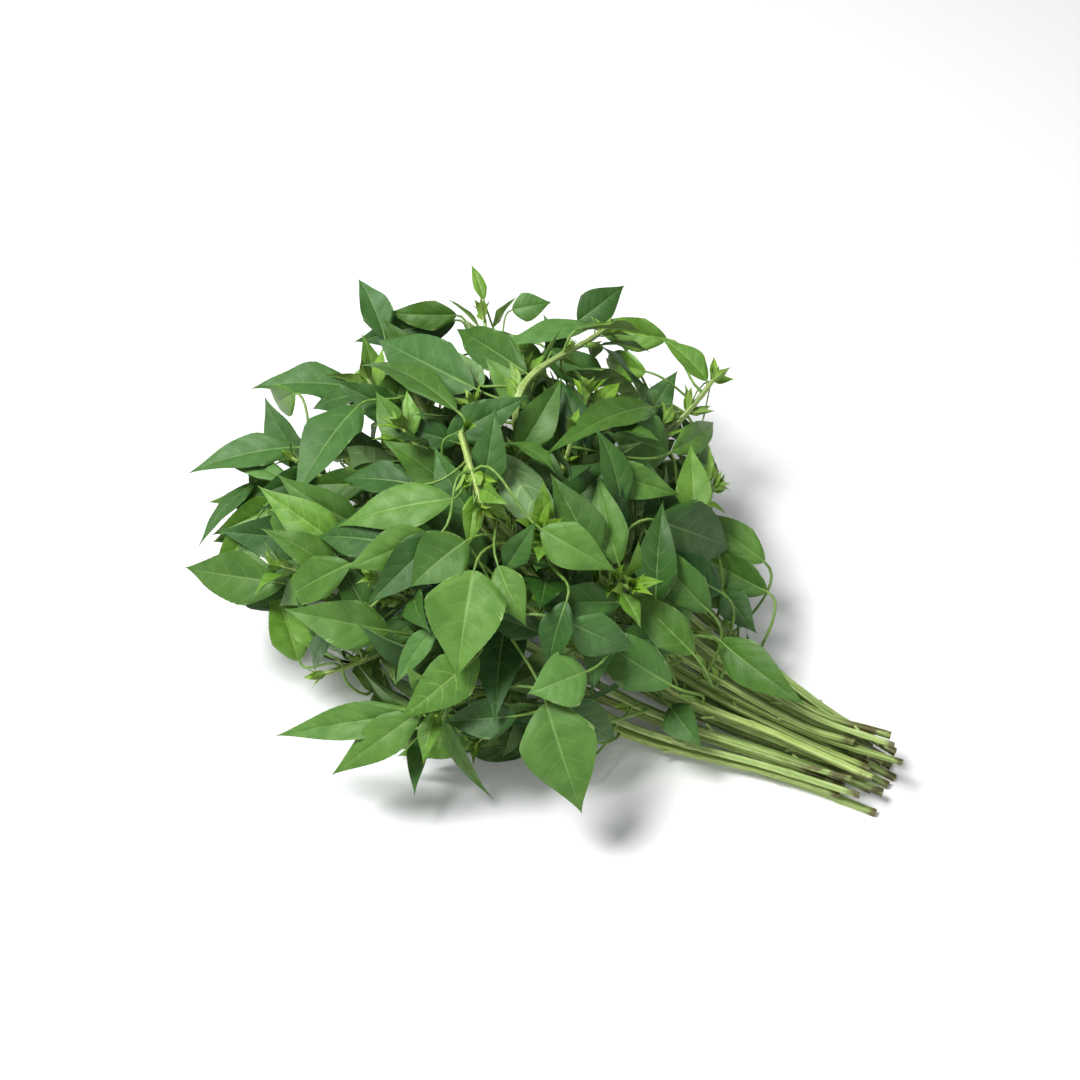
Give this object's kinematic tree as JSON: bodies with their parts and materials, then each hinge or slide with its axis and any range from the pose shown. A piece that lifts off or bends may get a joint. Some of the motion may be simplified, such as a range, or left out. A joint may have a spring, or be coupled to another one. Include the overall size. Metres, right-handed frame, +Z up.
{
  "type": "lemon basil bunch",
  "caption": "Bunch of fresh-cut lemon basil lying on its side: square green stems gathered at the cut ends, opening into a dense dome of pointed oval leaves",
  "frame": {"origin": "on the surface below the middle of the bunch's bounding box", "axes": "+Z up, +X along the bunch towards the cut ends, -X towards the leafy tips"},
  "size_m": [0.32, 0.2532, 0.1181],
  "materials": {
    "leaf": "fresh satin green leaf, paler and matt on the underside",
    "stem": "pale green, slightly glossy, fine ridges",
    "young_leaf": "yellow-green satin shoot tip"
  },
  "bodies": {
    "root": {"sprig_01": "leaf", "sprig_02": "leaf", "sprig_03": "leaf", "sprig_04": "leaf", "sprig_05": "leaf", "sprig_06": "leaf", "sprig_07": "leaf", "sprig_08": "leaf", "sprig_09": "leaf", "sprig_10": "leaf", "sprig_11": "leaf", "sprig_12": "leaf", "sprig_13": "leaf", "sprig_14": "leaf", "sprig_15": "leaf", "sprig_16": "leaf", "sprig_17": "leaf", "sprig_18": "leaf", "sprig_19": "leaf", "sprig_20": "leaf", "sprig_21": "leaf", "sprig_22": "leaf", "sprig_23": "leaf", "sprig_24": "leaf", "sprig_25": "leaf", "sprig_26": "leaf", "sprig_27": "leaf", "sprig_28": "leaf", "sprig_29": "leaf", "sprig_30": "leaf", "sprig_31": "leaf", "sprig_32": "leaf"}
  },
  "joints": []
}
